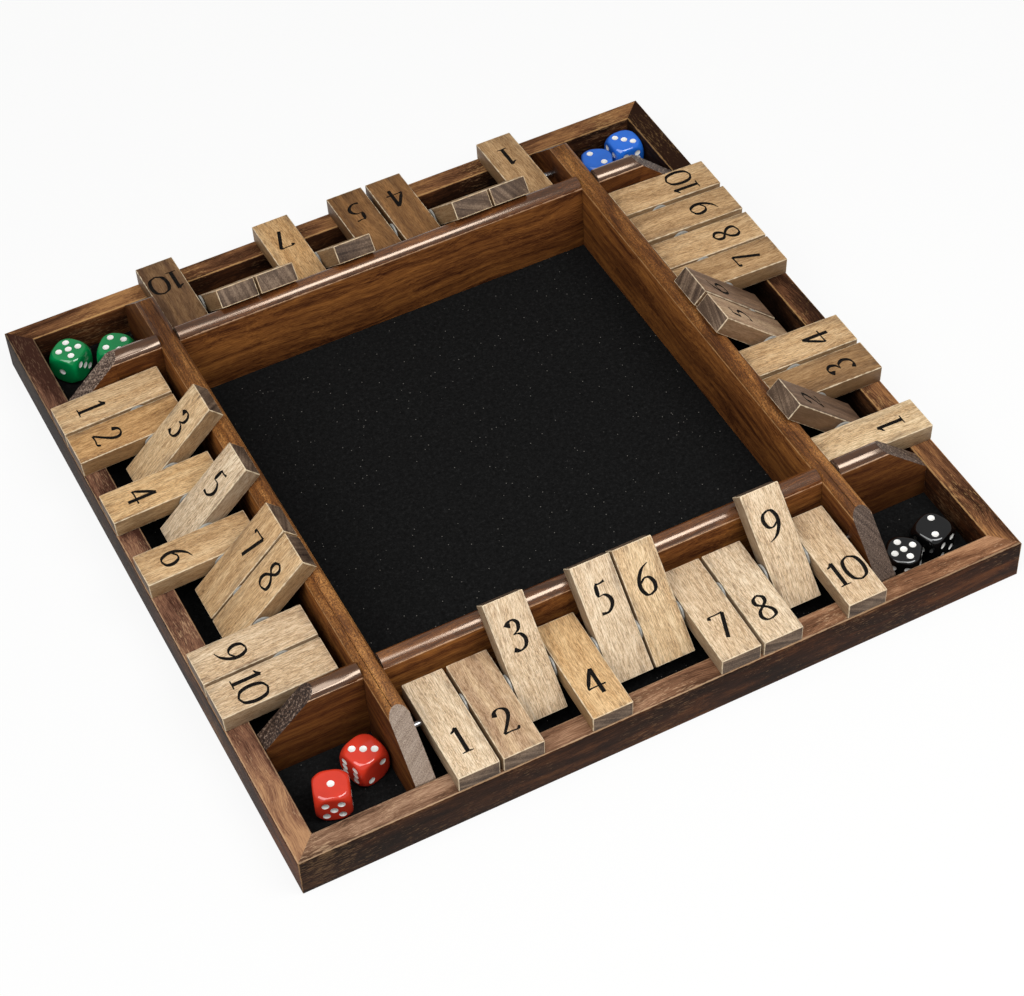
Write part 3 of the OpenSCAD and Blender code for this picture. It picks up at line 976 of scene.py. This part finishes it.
def hardboard():
    """Pressed wood fibre, matt brown."""
    material, tree = new_material("hardboard")
    place = add(tree, "TexCoord").outputs["Object"]
    chips = add(tree, "TexNoise", {"Vector": place, "Scale": 420, "Detail": 5, "Roughness": 0.75})
    colour = add(tree, "ValToRGB", {"Fac": chips},
                 stops=[(0.3, "#6a4c33"), (0.5, "#8b6a49"), (0.7, "#a4835f")])
    finish_surface(tree, colour, 0.8, relief=chips, depth=0.2)
    return material


dress("felt_lining", felt())
dress("base_panel", hardboard())

# %% [markdown]
# ## Rods and washers
#
# The tiles turn on bright drawn steel rod. Drawing leaves its gloss a little uneven. Between the
# tiles sit thin washers of natural nylon, milky and slightly see-through at the edge.

# %% Steel and nylon
def drawn_steel():
    """Bright steel whose gloss wavers."""
    material, tree = new_material("drawn_steel")
    shader = tree.nodes["Principled BSDF"]
    place = add(tree, "TexCoord").outputs["Object"]
    lines = add(tree, "TexNoise", {"Vector": place, "Scale": 900, "Detail": 3})
    rough = add(tree, "MapRange", {"Value": lines, "To Min": 0.14, "To Max": 0.32})
    tree.links.new(rough.outputs["Result"], shader.inputs["Roughness"])
    shader.inputs["Base Color"].default_value = linear("#c4c6c8")
    shader.inputs["Metallic"].default_value = 1
    return material


def nylon():
    """Milky moulded plastic that lets some light through."""
    material, tree = new_material("natural_nylon")
    place = add(tree, "TexCoord").outputs["Object"]
    haze = add(tree, "TexNoise", {"Vector": place, "Scale": 500, "Detail": 2})
    colour = add(tree, "ValToRGB", {"Fac": haze}, stops=[(0.3, "#a5a39c"), (0.7, "#cac8c0")])
    shader = finish_surface(tree, colour, 0.35)
    shader.inputs["Transmission Weight"].default_value = 0.35
    return material


# %% [markdown]
# A washer is a small bevelled rectangle spun once about the rod. One ring is made and then copied
# into each of the nine gaps of a row, so that every washer is the same turned part.

# %% Make the washers
WASHER_R = 4.7
WASHER_T = 0.9
WASHER_BORE_R = ROD_R + 0.05
WASHER_BEVEL = 0.15


def washer_ring():
    """One washer about the X axis."""
    ring = bmesh.new()
    section = bmesh.ops.create_grid(ring, x_segments=1, y_segments=1, size=0.5)["verts"]
    bmesh.ops.scale(ring, vec=(WASHER_T, WASHER_R - WASHER_BORE_R, 1), verts=section)
    bmesh.ops.translate(ring, vec=(0, (WASHER_R + WASHER_BORE_R) / 2, 0), verts=section)
    bmesh.ops.bevel(ring, geom=ring.verts, offset=WASHER_BEVEL, segments=2, profile=0.5,
                    affect="VERTICES", material=-1)
    bmesh.ops.delete(ring, geom=ring.faces, context="FACES_ONLY")
    bmesh.ops.spin(ring, geom=ring.verts[:] + ring.edges[:], cent=(0, 0, 0), axis=(1, 0, 0),
                   angle=2 * math.pi, steps=40, use_merge=True)
    bmesh.ops.recalc_face_normals(ring, faces=ring.faces)
    return new_mesh("ring", ring)


dress("pivot_rods", drawn_steel())
ring_mesh = washer_ring()
washers = bmesh.new()
for quarter, row in enumerate(ROWS):
    middles = middles_along(quarter, row)
    for near, far in zip(middles, middles[1:]):
        gap = Matrix.Translation(((near + far) / 2, -PIVOT_OUT, PIVOT_Z))
        add_copy(washers, ring_mesh, to_front(quarter).inverted() @ gap)
washer_piece = make_piece("washers_nylon", washers, [nylon()], "case")
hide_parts("spacer_washers")
print("washers:", (len(NUMBERS) - 1) * len(ROWS))

# %% [markdown]
# ## Dice
#
# The dice are polished resin, 16 mm wide, with a high gloss. Tumbling has rounded their edges and
# worn the corners back to a ball. The pips are shallow round hollows filled with white paint.

# %% Resin and paint of the dice
def resin(name, body_hex):
    """Glossy cast resin, very slightly cloudy."""
    material, tree = new_material(name)
    place = add(tree, "TexCoord").outputs["Object"]
    cloud = add(tree, "TexNoise", {"Vector": place, "Scale": 90, "Detail": 2})
    tint = add(tree, "ValToRGB", {"Fac": cloud}, stops=[(0.3, "#e6e6e6"), (0.7, "#ffffff")])
    colour = add(tree, "Mix", {0: 1.0, 1: linear(body_hex), 2: tint},
                 data_type="RGBA", blend_type="MULTIPLY")
    shader = finish_surface(tree, colour, 0.05)
    shader.inputs["IOR"].default_value = 1.85
    return material


def pip_paint():
    """White paint, half matt."""
    material, tree = new_material("pip_paint")
    place = add(tree, "TexCoord").outputs["Object"]
    brush = add(tree, "TexNoise", {"Vector": place, "Scale": 700, "Detail": 2})
    colour = add(tree, "ValToRGB", {"Fac": brush}, stops=[(0.3, "#e8e6e0"), (0.7, "#f7f6f2")])
    finish_surface(tree, colour, 0.4)
    return material


# %% [markdown]
# The pips follow the usual rule: opposite faces add up to seven. A pip is the lowest slice of a
# ball, as a round drill tip leaves it, so the ball's size follows from the pip's width and depth.
# A die's first material is its resin, and its second the paint.

# %% Pips
DIE_PAINT = 1
PIP_D = 3.3
PIP_DEPTH = 0.5
PIP_PITCH = 3.4
PIP_BALL = ((PIP_D / 2) ** 2 + PIP_DEPTH ** 2) / (2 * PIP_DEPTH)


def pip_places(value):
    """Places of the pips of one face, in steps of the pips' pitch."""
    places = [(0, 0)] if value % 2 else []
    if value > 2:
        places += [(-1, 1), (1, -1)]
    if value == 2 or value > 3:
        places += [(-1, -1), (1, 1)]
    if value == 6:
        places += [(-1, 0), (1, 0)]
    return places


def pip_cutter():
    """The lowest slice of a ball, closed on top, its lowest point at the origin."""
    cap = bmesh.new()
    bmesh.ops.create_uvsphere(cap, u_segments=32, v_segments=30, radius=PIP_BALL)
    bmesh.ops.translate(cap, vec=(0, 0, PIP_BALL), verts=cap.verts)
    cut = bmesh.ops.bisect_plane(cap, geom=cap.verts[:] + cap.edges[:] + cap.faces[:],
                                 plane_co=(0, 0, 2 * PIP_DEPTH), plane_no=(0, 0, 1),
                                 clear_outer=True)
    rim = [item for item in cut["geom_cut"] if isinstance(item, bmesh.types.BMEdge)]
    bmesh.ops.holes_fill(cap, edges=rim)
    for face in cap.faces:
        face.material_index = DIE_PAINT
    return new_mesh("pip", cap)


pip_mesh = pip_cutter()
print("pip:", PIP_D, "mm wide, cut by a ball of radius", round(PIP_BALL, 2), "mm")

# %% [markdown]
# A die is a cube divided finely. Each point is drawn in to a cube with round edges, and then to a
# smooth blend of that shape's distance and the ball's, so the corners melt into the faces as they
# do on tumbled dice. A bevel can't give that blend. Then the pips of its six faces are cut.

# %% Shape of a die
DIE_SIDE = 16
DIE_EDGE = 1.5
DIE_CORNER = 2.8
CORNER_BLEND = 32
DIE_CUTS = 27


def rounded_cube():
    """A die without pips. The higher CORNER_BLEND is, the sharper the ball meets the cube."""
    die = bmesh.new()
    bmesh.ops.create_cube(die, size=DIE_SIDE)
    bmesh.ops.subdivide_edges(die, edges=die.edges, cuts=DIE_CUTS, use_grid_fill=True)
    ball = DIE_SIDE * math.sqrt(3) / 2 - DIE_CORNER
    core = DIE_SIDE / 2 - DIE_EDGE
    for vertex in die.verts:
        inner = Vector([max(-core, min(core, value)) for value in vertex.co])
        rounded = inner + (vertex.co - inner).normalized() * DIE_EDGE
        reach = (rounded.length ** -CORNER_BLEND + ball ** -CORNER_BLEND) ** (-1 / CORNER_BLEND)
        vertex.co = rounded.normalized() * reach
    return die


def die_shape(values, materials):
    """A die with its top, front and right values."""
    top, front, right = values
    turns = [((0, 0, 0), top), ((180, 0, 0), 7 - top), ((90, 0, 0), front),
             ((90, 0, 180), 7 - front), ((90, 0, 90), right), ((90, 0, 270), 7 - right)]
    cutters = bmesh.new()
    for angles, value in turns:
        face_up = Euler([math.radians(angle) for angle in angles]).to_matrix().to_4x4()
        for x, y in pip_places(value):
            on_face = (x * PIP_PITCH, y * PIP_PITCH, DIE_SIDE / 2 - PIP_DEPTH)
            add_copy(cutters, pip_mesh, face_up @ Matrix.Translation(on_face))
    return carve(rounded_cube(), cutters, materials)


# %% [markdown]
# Two dice of one colour lie in each pocket, as they were dropped.

# %% Make the dice
# Each die: its turn in degrees, and the values on its top, front and right faces
DICE = {
    "die_red_1": (-18.8, (1, 5, 4)), "die_red_2": (16.4, (3, 2, 1)),
    "die_black_1": (-41.4, (5, 6, 4)), "die_black_2": (22.9, (2, 4, 6)),
    "die_blue_1": (67.1, (2, 6, 3)), "die_blue_2": (1, (3, 6, 2)),
    "die_green_1": (39.8, (5, 3, 6)), "die_green_2": (50.7, (4, 1, 2)),
}
RESINS = {"red": "#e03c27", "black": "#0a0a0b", "blue": "#2674e4", "green": "#048f4c"}
paint = pip_paint()
die_materials = {colour: [resin(f"resin_{colour}_gloss", body_hex), paint]
                 for colour, body_hex in RESINS.items()}
for name, (turn, values) in DICE.items():
    colour = name.split("_")[1]
    low, high = size_of(name)
    shape = die_shape(values, die_materials[colour])
    place = Matrix.Translation((low + high) / 2) @ Matrix.Rotation(math.radians(turn), 4, "Z")
    bmesh.ops.transform(shape, matrix=place, verts=shape.verts)
    piece = make_piece(name + "_polished", shape, die_materials[colour], name, smooth=32)
    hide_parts(name)
print("dice:", len(DICE))

# %% [markdown]
# ## Light
#
# The main light is a big soft box high up on the left, in front of the tray. A smaller one stands
# over the right front: it is mirrored along the varnished ridges and on the rims of the dice, and
# stands low enough that the black dice don't mirror it straight up. A dim white world fills the
# shadows, and is kept low so that black stays black.

# %% Lights
scene = bpy.context.scene
scene.view_settings.view_transform = "Standard"


def soft_box(name, place, aim, size, watts):
    """A rectangular lamp at a place in metres, aimed at a point."""
    lamp = bpy.data.lights.new(name, "AREA")
    lamp.shape = "RECTANGLE"
    lamp.size, lamp.size_y = size
    lamp.energy = watts
    holder = new_object(name, lamp)
    holder.location = place
    holder.rotation_euler = (Vector(place) - Vector(aim)).to_track_quat("Z", "Y").to_euler()
    print(name, watts, "W")


soft_box("soft_box_left", (-0.88, -0.4, 1.25), (-0.05, -0.05, 0), (1.3, 1.3), 15)
soft_box("soft_box_right", (0.3, -0.53, 0.93), (0.3, -0.08, 0), (0.8, 0.5), 7.2)

world = bpy.data.worlds.new("studio")
scene.world = world
world.use_nodes = True
backdrop = world.node_tree.nodes["Background"]
backdrop.inputs["Color"].default_value = linear("#ffffff")
backdrop.inputs["Strength"].default_value = 0.25

# %% [markdown]
# ## White paper under the tray
#
# The tray stands on white paper. The camera and mirrors see the paper mostly as an even glow, so
# it stays white, and the rest is ordinary paper that still takes a soft shadow.

# %% White paper
# Half the sheet's width and how far it lies below the tray, in metres, and how much it glows
PAPER_HALF = 3
PAPER_BELOW = 0.0005
GLOW_SHARE = 0.85


def white_paper():
    """Matt paper, which glows only for the camera, mirrors and see-through pieces."""
    paper, tree = new_material("white_paper")
    shader = tree.nodes["Principled BSDF"]
    shader.inputs["Base Color"].default_value = linear("#cfcfcd")
    shader.inputs["Roughness"].default_value = 0.9
    glow = add(tree, "Emission", {"Color": linear("#ffffff"), "Strength": 1.04})
    rays = add(tree, "LightPath").outputs
    seen = rays["Is Camera Ray"]
    for kind in ("Is Glossy Ray", "Is Transmission Ray"):
        seen = add(tree, "Math", {0: seen, 1: rays[kind]}, operation="MAXIMUM")
    share = add(tree, "Math", {0: seen, 1: GLOW_SHARE}, operation="MULTIPLY")
    mixed = add(tree, "MixShader", {0: share, 1: shader, 2: glow})
    tree.links.new(mixed.outputs["Shader"], tree.nodes["Material Output"].inputs["Surface"])
    return paper


sheet = bmesh.new()
bmesh.ops.create_grid(sheet, x_segments=1, y_segments=1, size=PAPER_HALF)
bmesh.ops.translate(sheet, vec=(0, 0, -PAPER_BELOW), verts=sheet.verts)
floor = new_object("studio_floor", new_mesh("studio_floor", sheet, [white_paper()]))
print("paper:", 2 * PAPER_HALF, "m square")

# %% [markdown]
# ## Camera
#
# A long lens looks down on the tray from the front left, far enough away that the four sides
# stay nearly parallel.

# %% Camera
camera_data = bpy.data.cameras.new("camera")
camera_data.lens = 91
camera_data.sensor_width = 36
camera = new_object("camera", camera_data)
camera.location = (-0.332743, -0.750996, 0.893954)
camera.rotation_euler = [math.radians(angle) for angle in (41.7407, 2.4114, -27.2179)]
scene.camera = camera
print("lens:", camera_data.lens, "mm")
